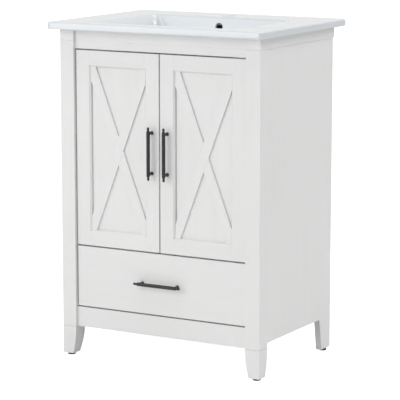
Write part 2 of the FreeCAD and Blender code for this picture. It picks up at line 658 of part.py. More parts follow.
def make_door(hand, side):
    """A framed door: two stiles, two rails, a thin panel and crossed flat braces."""
    name = hand + "_door"
    infill = ("infill_front", "infill_back")
    span = sided(side, "open_near", "open_far")
    panel = board(name + "_panel_board", sided(side, "open_near - panel_tongue",
                                               "open_far + panel_tongue"),
                  ("panel_front", "panel_back"),
                  ("open_low - panel_tongue", "open_high + panel_tongue"))
    handle = (at_side(side, "stile_middle"), "door_middle + pull_lift")
    pull_holes = make_pull(name, "Z", handle)
    bevel = opening_bevel(name + "_bevel", span)
    node(cut(name + "_inner_cut", board(name + "_inner", sided(side, "door_inner", "open_near"),
                                        infill, ("door_low", "door_high")),
             [panel, bevel] + pull_holes), name + "_stile_inner")

    cups, pockets = [], []
    for level_name, level in (("lower", "door_low + hinge_inset"),
                              ("upper", "door_high - hinge_inset")):
        label = f"{name}_{level_name}_cup"
        centre = at_side(side, "cup_place")
        pockets.append(rod(label + "_pocket", "Y", (centre, "infill_back - cup_depth", level),
                           "cup_radius", "cup_depth + overshoot"))
        drum = rod(label + "_drum", "Y", (centre, "infill_back - cup_depth", level),
                   "cup_radius - cup_fit", "cup_depth")
        disc = rod(label + "_disc", "Y", (centre, "infill_back", level), "cup_flange",
                   "cup_flange_thick")
        ear = board(label + "_ear", sided(side, "cup_place - cup_ear_width / 2",
                                          "cup_place + cup_ear_width / 2"),
                    ("infill_back", "infill_back + cup_flange_thick"),
                    (f"{level} - cup_ear_reach", f"{level} + cup_ear_reach"))
        hollow = rod(label + "_hollow", "Y", (centre, "infill_back - cup_depth + cup_wall", level),
                     "cup_radius - cup_fit - cup_wall", "cup_depth + overshoot")
        cups.append(cut(label, fuse(label + "_solid", [drum, disc, ear]), [hollow]))
    node(cut(name + "_outer_cut", board(name + "_outer", sided(side, "open_far", "door_outer"),
                                        infill, ("door_low", "door_high")),
             [panel, bevel] + pockets), name + "_stile_outer")
    node(group(name + "_cups", cups), name + "_hinge_cups")
    for part, low, high in (("rail_bottom", "door_low", "open_low"),
                            ("rail_top", "open_high", "door_high")):
        node(cut(f"{name}_{part}_cut", board(f"{name}_{part}_board", span, infill, (low, high)),
                 [panel, bevel]), f"{name}_{part}")
    node(panel, name + "_panel")

    # The whole brace climbs to the right on both doors; the other is two halves.
    x0, x1 = span
    run, rise, low, high = "brace_foot", "brace_rise", "open_low", "open_high"
    whole = outline_body(name + "_brace", "XZ", "brace_front", "panel_front", [
        (x0, low), (f"{x0} + {run}", low), (x1, f"{high} - {rise}"), (x1, high),
        (f"{x1} - {run}", high), (x0, f"{low} + {rise}")])
    cross = outline_body(name + "_cross", "XZ", "brace_front", "panel_front", [
        (x1, low), (x1, f"{low} + {rise}"), (f"{x0} + {run}", high), (x0, high),
        (x0, f"{high} - {rise}"), (f"{x1} - {run}", low)])
    split = cut(name + "_cross_split", cross, [whole])
    depth = ("brace_front - overshoot", "panel_front + overshoot")
    node(whole, name + "_brace_long")
    for part, z in (("lower", (low, "door_middle")), ("upper", ("door_middle", high))):
        half = board(f"{name}_{part}_half", span, depth, z)
        node(common(f"{name}_{part}_brace", split, half), f"{name}_brace_{part}")


make_hinge_fixings()
for hand, side in SIDES.items():
    make_door(hand, side)


def channel(name, side, web, flange, tall, opens):
    """A slide's C channel between two distances from the cleat's face.

    The web lies at the distance web, and its flanges run to the distance flange;
    opens is 1 where the flanges run inwards and -1 where they run back to the cleat.
    """
    near, far = (web, flange) if opens > 0 else (flange, web)
    level = "slide_level"
    solid = board(name + "_solid", sided(side, f"post_inner - ({far})", f"post_inner - ({near})"),
                  ("slide_front", "slide_front + slide_length"),
                  (f"{level} - ({tall})", f"{level} + ({tall})"))
    inner = f"({tall}) - slide_metal"
    room = (f"({near}) + slide_metal", f"({far}) + overshoot") if opens > 0 else (
        f"({near}) - overshoot", f"({far}) - slide_metal")
    space = board(name + "_space", sided(side, f"post_inner - ({room[1]})",
                                         f"post_inner - ({room[0]})"),
                  ("slide_front - overshoot", "slide_front + slide_length + overshoot"),
                  (f"{level} - ({inner})", f"{level} + ({inner})"))
    return cut(name, solid, [space])


def make_slides():
    """Three-part telescopic slides with their packing cleats."""
    cleats, members = [], {"outer": [], "middle": [], "inner": []}
    step = "slide_metal + slide_play"
    tall = "slide_height / 2"
    for hand, side in SIDES.items():
        cleats.append(board(f"cleat_{hand}", sided(side, "post_inner", "board_inner"),
                            ("post_back", "back_inner"),
                            ("slide_level - cleat_height / 2", "slide_level + cleat_height / 2")))
        members["outer"].append(channel(f"outer_{hand}", side, "0", "slide_outer_flange", tall, 1))
        members["middle"].append(channel(
            f"middle_{hand}", side, "slide_middle_start", "slide_middle_start + slide_flange",
            f"{tall} - ({step})", 1))
        members["inner"].append(channel(
            f"inner_{hand}", side, "slide_thick", "slide_middle_start + slide_metal + slide_play",
            f"{tall} - 2 * ({step})", -1))
    node(group("cleats", cleats), "slide_cleats")
    for name, pieces in members.items():
        node(group(name + "_members", pieces), f"slide_{name}_members")


def make_drawer():
    """The drawer: an applied front, two grooved sides, a back and a thin bottom."""
    depth = ("infill_back", "box_back")
    between = ("-box_inner", "box_inner")
    floor = board("drawer_floor", ("-box_inner - drawer_groove", "box_inner + drawer_groove"),
                  ("infill_back", "box_back"), ("box_floor", "box_floor + drawer_bottom_thick"))
    front = board("drawer_face", ("-door_outer", "door_outer"), ("infill_front", "infill_back"),
                  ("drawer_low", "drawer_high"))
    holes = make_pull("drawer", "X", ("0", "drawer_pull_level"))
    node(cut("drawer_face_cut", front, holes), "drawer_front")
    for hand, side in SIDES.items():
        blank = board(f"drawer_{hand}", sided(side, "box_inner", "box_outer"), depth,
                      ("box_low", "box_high"))
        node(cut(f"drawer_{hand}_cut", blank, [floor]), f"drawer_side_{hand}")
    node(board("drawer_rear", between, ("box_back - drawer_side_thick", "box_back"),
               ("box_floor + drawer_bottom_thick", "box_high")), "drawer_back")
    node(floor, "drawer_bottom")


make_slides()
make_drawer()
doc.recompute()

os.makedirs("parts", exist_ok=True)
faulty = [thing.Name for thing in doc.Objects
          if "Invalid" in thing.State or "Error" in thing.State]
for thing in nodes:
    if thing.Shape.isNull() or not thing.Shape.isValid():
        faulty.append(thing.Label)
if faulty:
    raise RuntimeError("these objects failed: " + ", ".join(faulty))
for thing in nodes:
    thing.Shape.exportStep(f"parts/{thing.Label}.step")
print(len(nodes), "sub-parts written")
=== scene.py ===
import math

import bmesh
import bpy
from mathutils import Matrix, Vector


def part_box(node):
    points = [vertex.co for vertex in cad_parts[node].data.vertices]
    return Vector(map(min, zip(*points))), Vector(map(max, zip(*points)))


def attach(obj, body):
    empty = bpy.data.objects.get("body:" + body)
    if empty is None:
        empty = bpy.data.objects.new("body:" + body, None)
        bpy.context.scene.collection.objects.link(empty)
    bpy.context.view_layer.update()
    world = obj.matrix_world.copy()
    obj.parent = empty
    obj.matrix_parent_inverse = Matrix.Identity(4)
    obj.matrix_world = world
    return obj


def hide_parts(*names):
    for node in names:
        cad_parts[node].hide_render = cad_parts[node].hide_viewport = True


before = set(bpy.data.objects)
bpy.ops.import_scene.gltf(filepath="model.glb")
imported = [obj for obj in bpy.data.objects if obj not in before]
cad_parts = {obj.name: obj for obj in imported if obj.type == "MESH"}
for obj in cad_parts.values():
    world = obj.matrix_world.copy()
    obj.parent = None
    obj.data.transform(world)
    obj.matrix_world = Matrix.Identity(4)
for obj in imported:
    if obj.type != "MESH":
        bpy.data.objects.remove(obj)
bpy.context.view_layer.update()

# ---- Studio ----------------------------------------------------------------------
# A pale floor, a wide soft lamp in front on the left, others overhead and behind on the
# right, and even light from all round, brightest behind the cabinet, as a white backdrop
# gives. The camera looks from the right, a little from above.
MM = 0.001
VIEW_TURN = math.radians(29.707)
VIEW_RISE = math.radians(9.7125)
AIM = Vector((6.12, 0, 401.4)) * MM
VIEW_DISTANCE = 5282.7 * MM
LENS_LENGTH = 184.353


def new_object(name, data):
    """Puts a mesh, lamp or camera in the scene."""
    thing = bpy.data.objects.new(name, data)
    bpy.context.scene.collection.objects.link(thing)
    return thing


def towards(turn, rise):
    """The direction from the object to a viewer at that turn and rise."""
    return Vector((math.sin(turn) * math.cos(rise), -math.cos(turn) * math.cos(rise),
                   math.sin(rise)))


back = towards(VIEW_TURN, VIEW_RISE)
lens = bpy.data.cameras.new("camera")
lens.lens = LENS_LENGTH
lens.clip_end = 100
camera = new_object("camera", lens)
camera.rotation_mode = "QUATERNION"
camera.location = AIM + back * VIEW_DISTANCE
camera.rotation_quaternion = (-back).to_track_quat("-Z", "Y")
bpy.context.scene.camera = camera


LAMP_DISTANCE = 3.2


def soft_lamp(name, turn, rise, size, power):
    """A square soft box that faces the middle of the cabinet."""
    light = bpy.data.lights.new(name, "AREA")
    light.size = size
    light.energy = power
    lamp = new_object(name, light)
    aim = towards(math.radians(turn), math.radians(rise))
    lamp.location = AIM + aim * LAMP_DISTANCE
    lamp.rotation_mode = "QUATERNION"
    lamp.rotation_quaternion = aim.to_track_quat("Z", "Y")


soft_lamp("front_lamp", -20, 20, 2.0, 29)
soft_lamp("top_lamp", 0, 80, 1.6, 24)
soft_lamp("rear_lamp", 112, 48, 1.5, 27)

bpy.context.scene.view_settings.view_transform = "Standard"


def link(tree, kind, sockets=(), **settings):
    """A shader node with its settings, and a value or another socket for each input."""
    made = tree.nodes.new(kind)
    for name, value in settings.items():
        setattr(made, name, value)
    for name, value in dict(sockets).items():
        entry = next(one for one in made.inputs if one.enabled and one.name == name)
        if isinstance(value, bpy.types.NodeSocket):
            tree.links.new(value, entry)
        else:
            entry.default_value = value
    return made


def mixed(tree, factor, first, second, kind="RGBA"):
    """A mix of two colours, or of two numbers where the kind is FLOAT, by a factor."""
    made = link(tree, "ShaderNodeMix", data_type=kind)
    sockets = [one for one in made.inputs if one.enabled]
    for entry, value in zip(sockets, (factor, first, second)):
        if isinstance(value, bpy.types.NodeSocket):
            tree.links.new(value, entry)
        else:
            entry.default_value = (*value, 1) if kind == "RGBA" and len(value) == 3 else value
    return next(one for one in made.outputs if one.enabled)


def new_material(name, **constants):
    """A material with its Principled shader's plain values set on its own sockets."""
    finish = bpy.data.materials.new(name)
    finish.use_nodes = True
    shader = finish.node_tree.nodes["Principled BSDF"]
    for socket, value in constants.items():
        shader.inputs[socket.replace("_", " ")].default_value = value
    return finish, finish.node_tree, shader


# Strength of the light all round and from behind, and the white that the camera sees.
ROOM_LIGHT, BACKDROP_LIGHT, BACKDROP_SEEN = 0.59, 0.81, 1.0
room = bpy.data.worlds.new("room")
room.use_nodes = True
tree = room.node_tree
way = link(tree, "ShaderNodeTexCoord").outputs["Generated"]
facing = link(tree, "ShaderNodeVectorMath", operation="DOT_PRODUCT")
tree.links.new(way, facing.inputs[0])
facing.inputs[1].default_value = towards(VIEW_TURN + math.pi, 0)
glow = link(tree, "ShaderNodeMapRange", {"Value": facing.outputs["Value"], "From Min": 0.3,
            "From Max": 0.9, "To Min": ROOM_LIGHT, "To Max": BACKDROP_LIGHT},
            interpolation_type="SMOOTHSTEP")
tree.nodes["Background"].inputs["Color"].default_value = (1.0, 1.0, 1.0, 1)
seen = link(tree, "ShaderNodeLightPath").outputs["Is Camera Ray"]
tree.links.new(mixed(tree, seen, glow.outputs["Result"], BACKDROP_SEEN, "FLOAT"),
               tree.nodes["Background"].inputs["Strength"])
bpy.context.scene.world = room

# The floor glows for the camera alone, so that it shows white and lights nothing.
FLOOR_LIGHT, FLOOR_SHADE = (0.85, 0.85, 0.85), (0.83, 0.83, 0.83)
FLOOR_GLOW, FLOOR_RADIUS = 0.75, 40
floor_paint, tree, shader = new_material("floor_paint", Roughness=0.9,
                                         Emission_Color=(1, 1, 1, 1))
place = link(tree, "ShaderNodeTexCoord").outputs["Object"]
speckle = link(tree, "ShaderNodeTexNoise", {"Vector": place, "Scale": 3})
shade = mixed(tree, speckle.outputs["Fac"], FLOOR_SHADE, FLOOR_LIGHT)
seen = link(tree, "ShaderNodeLightPath").outputs["Is Camera Ray"]
glow = link(tree, "ShaderNodeMapRange", {"Value": seen, "To Max": FLOOR_GLOW})
tree.links.new(shade, shader.inputs["Base Color"])
tree.links.new(glow.outputs["Result"], shader.inputs["Emission Strength"])
sheet = bmesh.new()
bmesh.ops.create_circle(sheet, cap_ends=True, segments=96, radius=FLOOR_RADIUS)
floor_mesh = bpy.data.meshes.new("floor")
sheet.to_mesh(floor_mesh)
sheet.free()
floor_mesh.materials.append(floor_paint)
new_object("floor", floor_mesh)

# ---- Corner posts, feet and side boards --------------------------------------------
# Solid wood posts stand on separate tapered feet, with a V line where they meet, and
# side boards run back from them to the rear feet. All are sanded, then sprayed white.


def closed(shape):
    """Turns every face of a closed shape outwards."""
    bmesh.ops.recalc_face_normals(shape, faces=shape.faces)
    return shape


def merged(node):
    """The CAD node as a bmesh, with corners merged and flat faces made whole."""
    shape = bmesh.new()
    shape.from_mesh(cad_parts[node].data)
    bmesh.ops.remove_doubles(shape, verts=shape.verts, dist=0.01 * MM)
    bmesh.ops.dissolve_limit(shape, angle_limit=math.radians(0.4), verts=shape.verts,
                             edges=shape.edges)
    return closed(shape)


def rounded(shape, radius, shortest=3 * MM):
    """Rounds over a shape's sharp outer edges, apart from the shortest ones."""
    sharp = [edge for edge in shape.edges
             if edge.is_manifold and edge.is_convex and edge.calc_length() > shortest
             and edge.calc_face_angle() > math.radians(30)]
    bmesh.ops.bevel(shape, geom=sharp, offset=radius, offset_type="OFFSET", affect="EDGES",
                    segments=2, profile=0.5, material=-1, clamp_overlap=True)
    return shape


def finished(shape, name, body, finish, node):
    """Makes a bmesh a finished piece that rides on a body in place of a CAD node."""
    mesh = bpy.data.meshes.new(name)
    shape.to_mesh(mesh)
    shape.free()
    mesh.shade_smooth()
    mesh.set_sharp_from_angle(angle=math.radians(50))
    mesh.materials.append(finish)
    piece = new_object(name, mesh)
    even = piece.modifiers.new("even_shading", "WEIGHTED_NORMAL")
    even.keep_sharp = True
    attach(piece, body)
    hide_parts(node)
    return piece


def effect(name, *outputs):
    """An empty shader node group from a place to named values, and its two end nodes."""
    group = bpy.data.node_groups.new(name, "ShaderNodeTree")
    group.interface.new_socket("Vector", in_out="INPUT", socket_type="NodeSocketVector")
    for title in outputs:
        group.interface.new_socket(title, in_out="OUTPUT", socket_type="NodeSocketFloat")
    return group, group.nodes.new("NodeGroupInput"), group.nodes.new("NodeGroupOutput")


# Grain: long figure and short pores, from coordinates already stretched along the wood.
grain, given, result = effect("wood_grain", "Figure", "Pores")
figure = link(grain, "ShaderNodeTexNoise", {"Vector": given.outputs["Vector"], "Scale": 55.0,
              "Detail": 4.0, "Roughness": 0.6, "Distortion": 0.7})
streaks = link(grain, "ShaderNodeTexNoise", {"Vector": given.outputs["Vector"], "Scale": 420.0,
               "Detail": 3.0, "Roughness": 0.65})
pores = link(grain, "ShaderNodeMapRange", {"Value": streaks.outputs["Fac"], "From Min": 0.34,
             "From Max": 0.52})
grain.links.new(figure.outputs["Fac"], result.inputs["Figure"])
grain.links.new(pores.outputs["Result"], result.inputs["Pores"])

# Sprayed film: slow shading differences and a very fine orange peel.
film, given, result = effect("sprayed_film", "Cloud", "Peel")
cloud = link(film, "ShaderNodeTexNoise", {"Vector": given.outputs["Vector"], "Scale": 6.0,
             "Detail": 3.0})
peel = link(film, "ShaderNodeTexNoise", {"Vector": given.outputs["Vector"], "Scale": 700.0,
            "Detail": 2.0})
film.links.new(cloud.outputs["Fac"], result.inputs["Cloud"])
film.links.new(peel.outputs["Fac"], result.inputs["Peel"])

GRAIN_STRETCH = {"X": (0.05, 1, 1), "Y": (1, 0.05, 1), "Z": (1, 1, 0.05)}


def painted(name, along, light, shade, roughness, relief):
    """White paint over wood whose grain runs along one axis and shows faintly through."""
    finish, tree, shader = new_material(name, Roughness=roughness, Specular_IOR_Level=0.4)
    place = link(tree, "ShaderNodeTexCoord").outputs["Object"]
    stretch = link(tree, "ShaderNodeMapping", {"Vector": place, "Scale": GRAIN_STRETCH[along]})
    wood = link(tree, "ShaderNodeGroup", node_tree=grain)
    tree.links.new(stretch.outputs["Vector"], wood.inputs["Vector"])
    coat = link(tree, "ShaderNodeGroup", node_tree=film)
    tree.links.new(place, coat.inputs["Vector"])
    tone = mixed(tree, 0.45, wood.outputs["Figure"], coat.outputs["Cloud"], "FLOAT")
    spread = link(tree, "ShaderNodeMapRange", {"Value": tone, "From Min": 0.35, "From Max": 0.65})
    colour = mixed(tree, spread.outputs["Result"], shade, light)
    gloss = link(tree, "ShaderNodeMapRange", {"Value": coat.outputs["Cloud"], "From Min": 0.3,
                 "From Max": 0.7, "To Min": roughness - 0.05, "To Max": roughness + 0.05})
    fine = link(tree, "ShaderNodeBump", {"Strength": 0.25, "Distance": 0.05 * MM,
                "Height": coat.outputs["Peel"]})
    open_grain = link(tree, "ShaderNodeBump", {"Strength": relief, "Distance": 0.08 * MM,
                      "Height": wood.outputs["Pores"], "Normal": fine.outputs["Normal"]})
    tree.links.new(colour, shader.inputs["Base Color"])
    tree.links.new(gloss.outputs["Result"], shader.inputs["Roughness"])
    tree.links.new(open_grain.outputs["Normal"], shader.inputs["Normal"])
    return finish


PAINT_LIGHT, PAINT_SHADE = (0.80, 0.80, 0.795), (0.775, 0.775, 0.77)
paint = {axis: painted("white_paint_" + axis.lower(), axis, PAINT_LIGHT, PAINT_SHADE, 0.42, 0.5)
         for axis in "XYZ"}
POST_ROUND, EDGE_ROUND = 1.2 * MM, 0.8 * MM


def painted_board(node, body, along, radius=EDGE_ROUND):
    """A painted wooden piece: the CAD piece with sanded edges and grain along one axis."""
    finished(rounded(merged(node), radius), node + "_painted", body, paint[along],
             node)


for hand in ("left", "right"):
    painted_board("front_post_" + hand, "cabinet", "Z", POST_ROUND)
    painted_board("front_leg_" + hand, "cabinet", "Z", POST_ROUND)
    painted_board("side_panel_" + hand, "cabinet", "Z")
    painted_board("side_top_rail_" + hand, "cabinet", "Y")

# ---- Front rails, boards and back ---------------------------------------------------
# Rails dowelled between the posts, a bottom and a shelf inside, and a low back panel
# and a high wall rail that leave the space for the pipes open.
TOP_RAIL_ROUND, LAMINATE_ROUND = 0.5 * MM, 0.4 * MM
painted_board("front_top_rail", "cabinet", "X", TOP_RAIL_ROUND)
painted_board("front_bottom_rail", "cabinet", "X")

board_white = painted("laminate_white", "X", (0.79, 0.79, 0.78), (0.77, 0.77, 0.76), 0.5, 0.3)


def laminate_board(node, body):
    """An inside board in plain white laminate with slightly eased edges."""
    finished(rounded(merged(node), LAMINATE_ROUND), node + "_laminate", body, board_white,
             node)


for node in ("bottom_panel", "cabinet_shelf", "back_panel", "back_top_rail",
             "hinge_rail_left", "hinge_rail_right", "slide_cleats"):
    laminate_board(node, "cabinet")

# ---- Corner braces ------------------------------------------------------------------
# Injection-moulded white plastic triangles in the top corners, hollow from below with an
# even wall. They are glued to the wood and carry the basin top.
CORNER_WALL, CORNER_HOLLOW, CORNER_ROUND = 2.2 * MM, 15 * MM, 0.9 * MM


def plastic(name, light, dark, roughness):
    """Moulded plastic with a fine spark-eroded skin and slight flow marks."""
    finish, tree, shader = new_material(name, Roughness=roughness)
    place = link(tree, "ShaderNodeTexCoord").outputs["Object"]
    flow = link(tree, "ShaderNodeTexNoise", {"Vector": place, "Scale": 40, "Detail": 2})
    colour = mixed(tree, flow.outputs["Fac"], dark, light)
    spark = link(tree, "ShaderNodeTexNoise", {"Vector": place, "Scale": 1800, "Detail": 1})
    skin = link(tree, "ShaderNodeBump", {"Strength": 0.35, "Distance": 0.05 * MM,
                "Height": spark.outputs["Fac"]})
    tree.links.new(colour, shader.inputs["Base Color"])
    tree.links.new(skin.outputs["Normal"], shader.inputs["Normal"])
    return finish


moulded_white = plastic("moulded_white", (0.78, 0.78, 0.77), (0.74, 0.74, 0.72), 0.38)
shape = merged("corner_braces")
under = [face for face in shape.faces if face.normal.z < -0.9]
bmesh.ops.inset_individual(shape, faces=under, thickness=CORNER_WALL)
bmesh.ops.translate(shape, verts=list({vert for face in under for vert in face.verts}),
                    vec=(0, 0, CORNER_HOLLOW))
finished(rounded(shape, CORNER_ROUND), "corner_braces_moulded", "cabinet", moulded_white,
         "corner_braces")

# ---- Feet glides and dowels ---------------------------------------------------------
# A round black plastic glide nailed under each foot. Beech dowels join the boards, glued
# into blind holes. They stay as the CAD has them, with a wooden finish.
# The right-hand glides: distance from the middle, depth and radius.
FRONT_GLIDE, REAR_GLIDE = (272.5, -184, 10), (276.5, 175.5, 9)
GLIDE_HEIGHT, NAIL_DEPTH = 6, 1.6


def turned(shape, start, axis, profile, segments=32):
    """Adds a solid turned about an axis, from pairs of distance along it and radius."""
    axis, start = Vector(axis).normalized(), Vector(start)
    aside = axis.orthogonal().normalized()
    points = [shape.verts.new(start + axis * along + aside * radius) for along, radius in profile]
    line = [shape.edges.new(pair) for pair in zip(points, points[1:])]
    bmesh.ops.spin(shape, geom=points + line, cent=start, axis=axis, angle=math.tau,
                   steps=segments, use_merge=True)
    bmesh.ops.remove_doubles(shape, verts=shape.verts, dist=0.004 * MM)


def scaled(profile):
    """A profile in mm as one in metres."""
    return [(along * MM, radius * MM) for along, radius in profile]


black_plastic = plastic("black_plastic", (0.022, 0.022, 0.022), (0.014, 0.014, 0.014), 0.5)
shape = bmesh.new()
for side in (-1, 1):
    for x, y, radius in (FRONT_GLIDE, REAR_GLIDE):
        turned(shape, Vector((side * x, y, 0)) * MM, (0, 0, 1), scaled((
            (NAIL_DEPTH, 0), (NAIL_DEPTH, 2.2), (0, 2.6), (0, radius - 1.4),
            (0.5, radius - 0.45), (1.5, radius), (GLIDE_HEIGHT, radius), (GLIDE_HEIGHT, 0))))
finished(closed(shape), "foot_glides_turned", "cabinet", black_plastic,
         "foot_glides")

beech, tree, shader = new_material("beech", Roughness=0.6)
place = link(tree, "ShaderNodeTexCoord").outputs["Object"]
wood = link(tree, "ShaderNodeGroup", node_tree=grain)
stretch = link(tree, "ShaderNodeMapping", {"Vector": place, "Scale": (0.2, 1, 1)})
tree.links.new(stretch.outputs["Vector"], wood.inputs["Vector"])
spread = link(tree, "ShaderNodeMapRange", {"Value": wood.outputs["Figure"], "From Min": 0.35,
              "From Max": 0.65})
colour = mixed(tree, spread.outputs["Result"], (0.50, 0.31, 0.18), (0.62, 0.42, 0.26))
relief = link(tree, "ShaderNodeBump", {"Strength": 0.5, "Distance": 0.1 * MM,
              "Height": wood.outputs["Pores"]})
tree.links.new(colour, shader.inputs["Base Color"])
tree.links.new(relief.outputs["Normal"], shader.inputs["Normal"])
for node in ("carcass_dowels", "leg_dowels"):
    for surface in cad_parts[node].material_slots:
        surface.material = beech

# ---- Screws -------------------------------------------------------------------------
# One pattern of pan-head screw with a cross recess, zinc plated. The hinges, slides
# and pulls all use it, in their own sizes.


def carved(shape, tool, operation="DIFFERENCE"):
    """The shape cut by, or joined with, another closed shape; both are used up."""
    pair = []
    for part in (shape, tool):
        mesh = bpy.data.meshes.new("carving")
        part.to_mesh(mesh)
        part.free()
        pair.append(new_object("carving", mesh))
    carving = pair[0].modifiers.new("carving", "BOOLEAN")
    carving.operation, carving.solver, carving.object = operation, "EXACT", pair[1]
    done = pair[0].evaluated_get(bpy.context.evaluated_depsgraph_get())
    result = bmesh.new()
    result.from_mesh(done.to_mesh())
    done.to_mesh_clear()
    for part in pair:
        mesh = part.data
        bpy.data.objects.remove(part)
        bpy.data.meshes.remove(mesh)
    return result


def metal(name, colour, dark, roughness, fine, scale):
    """A metal finish: slow tone changes, and a fine satin texture in the gloss."""
    finish, tree, shader = new_material(name, Metallic=1.0, Roughness=roughness)
    place = link(tree, "ShaderNodeTexCoord").outputs["Object"]
    tone = link(tree, "ShaderNodeTexNoise", {"Vector": place, "Scale": 60, "Detail": 3})
    tint = mixed(tree, tone.outputs["Fac"], dark, colour)
    satin = link(tree, "ShaderNodeTexNoise", {"Vector": place, "Scale": scale, "Detail": 2})
    gloss = link(tree, "ShaderNodeMapRange", {"Value": satin.outputs["Fac"], "From Min": 0.3,
                 "From Max": 0.7, "To Min": roughness - 0.06, "To Max": roughness + 0.06})
    relief = link(tree, "ShaderNodeBump", {"Strength": 0.3, "Distance": fine * MM,
                  "Height": satin.outputs["Fac"]})
    tree.links.new(tint, shader.inputs["Base Color"])
    tree.links.new(gloss.outputs["Result"], shader.inputs["Roughness"])
    tree.links.new(relief.outputs["Normal"], shader.inputs["Normal"])
    return finish


zinc = metal("zinc_plate", (0.68, 0.69, 0.70), (0.56, 0.57, 0.60), 0.34, 0.02, 1500)
nickel = metal("nickel_plate", (0.70, 0.67, 0.62), (0.62, 0.59, 0.55), 0.22, 0.01, 1200)

# The head is drawn one unit in radius, and each screw scales it to its own.
HEAD_PROFILE = [(0, 0), (0, 1), (0.16, 1), (0.34, 0.9), (0.48, 0.66), (0.55, 0.3), (0.56, 0)]
RECESS_LENGTH, RECESS_WIDTH, RECESS_DEPTH, RECESS_MIDDLE = 0.98, 0.2, 0.4, 0.44
head = bmesh.new()
turned(head, (0, 0, 0), (0, 0, 1), HEAD_PROFILE, 20)
closed(head)
for size in ((RECESS_LENGTH, RECESS_WIDTH, RECESS_DEPTH),
             (RECESS_WIDTH, RECESS_LENGTH, RECESS_DEPTH)):
    cross = bmesh.new()
    arm = bmesh.ops.create_cube(cross, size=1)["verts"]
    bmesh.ops.scale(cross, vec=size, verts=arm)
    bmesh.ops.translate(cross, vec=(0, 0, RECESS_MIDDLE), verts=arm)
    head = carved(head, cross)
screw_head = bpy.data.meshes.new("screw_head")
head.to_mesh(screw_head)
head.free()


def screw(shape, place, facing, radius, turn=0):
    """Adds a screw head, facing a direction, with its cross turned by some degrees."""
    before = set(shape.verts)
    shape.from_mesh(screw_head)
    way = Vector(facing).to_track_quat("Z", "Y").to_matrix() @ Matrix.Rotation(
        math.radians(turn), 3, "Z")
    bmesh.ops.transform(shape, verts=[vert for vert in shape.verts if vert not in before],
                        matrix=Matrix.Translation(Vector(place) * MM)
                        @ (way * radius * MM).to_4x4())


# ---- Drawer -------------------------------------------------------------------------
# The painted front is set in flush between the posts, like the doors. Behind it is a
# glued box of white laminate boards, whose bottom sits in grooves.
FRONT_TRIM = 0.45 * MM
NEAR_MIDDLE = 100 * MM


def front_board(node, body, along, outline, radius=EDGE_ROUND):
    """A painted piece of a front, sanded back a little where two fronts or a rail meet."""
    shape = merged(node)
    low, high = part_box(outline)
    inner = [(0, edge, way) for edge, way in ((low[0], 1), (high[0], -1))
             if abs(edge) < NEAR_MIDDLE]
    for axis, edge, way in inner + [(2, low[2], 1), (2, high[2], -1)]:
        for vert in shape.verts:
            if abs(vert.co[axis] - edge) < 0.1 * MM:
                vert.co[axis] = edge + way * FRONT_TRIM
    finished(rounded(shape, radius), node + "_painted", body, paint[along],
             node)


front_board("drawer_front", "drawer", "X", "drawer_front")
for node in ("drawer_side_left", "drawer_side_right", "drawer_back", "drawer_bottom"):
    laminate_board(node, "drawer")

# ---- Drawer slides --------------------------------------------------------------------
# Three-part telescopic slides in rolled, zinc-plated steel: the outer member screwed to
# a cleat, the inner one to the drawer's side, and the middle one running between them.
SLIDE_LEVEL, SLIDE_SCREW, SLIDE_ROUND = 177.5, 3.2, 0.35 * MM
OUTER_FACE, MIDDLE_FACE, INNER_FACE = 247, 244.5, 235.4


def rolled(node, body, holes, screws):
    """A slide member: the CAD channels with rolled edges, slots and screw heads."""
    shape = rounded(merged(node), SLIDE_ROUND, shortest=1 * MM)
    for (x, y), size in holes:
        tool = bmesh.new()
        for side in (-1, 1):
            bar = bmesh.ops.create_cube(tool, size=1)["verts"]
            bmesh.ops.scale(tool, vec=Vector(size) * MM, verts=bar)
            bmesh.ops.translate(tool, vec=Vector((side * x, y, SLIDE_LEVEL)) * MM, verts=bar)
        bmesh.ops.bevel(tool, geom=[edge for edge in tool.edges if abs(
                            (edge.verts[0].co - edge.verts[1].co).x) > 1 * MM],
                        offset=size[2] * 0.499 * MM, offset_type="OFFSET", affect="EDGES",
                        segments=5, profile=0.5, material=-1)
        shape = carved(shape, tool)
    for index, (x, y, facing) in enumerate(screws):
        for side in (-1, 1):
            screw(shape, (side * x, y, SLIDE_LEVEL), (side * facing, 0, 0), SLIDE_SCREW,
                  25 + 40 * index)
    finished(shape, node + "_rolled", body, zinc, node)


rolled("slide_outer_members", "cabinet",
       [((OUTER_FACE, y), (4, 16, 5)) for y in (-100, 20)],
       [(OUTER_FACE + 0.3, y, -1) for y in (-60, 60)])
rolled("slide_middle_members", "slide_middles",
       [((MIDDLE_FACE, y), (4, 30, 9)) for y in (-110, 0, 80)], [])
rolled("slide_inner_members", "drawer",
       [((INNER_FACE, y), (4, 12, 5)) for y in (-110, 70)],
       [(INNER_FACE + 0.6, y, 1) for y in (-140, -20, 110)])

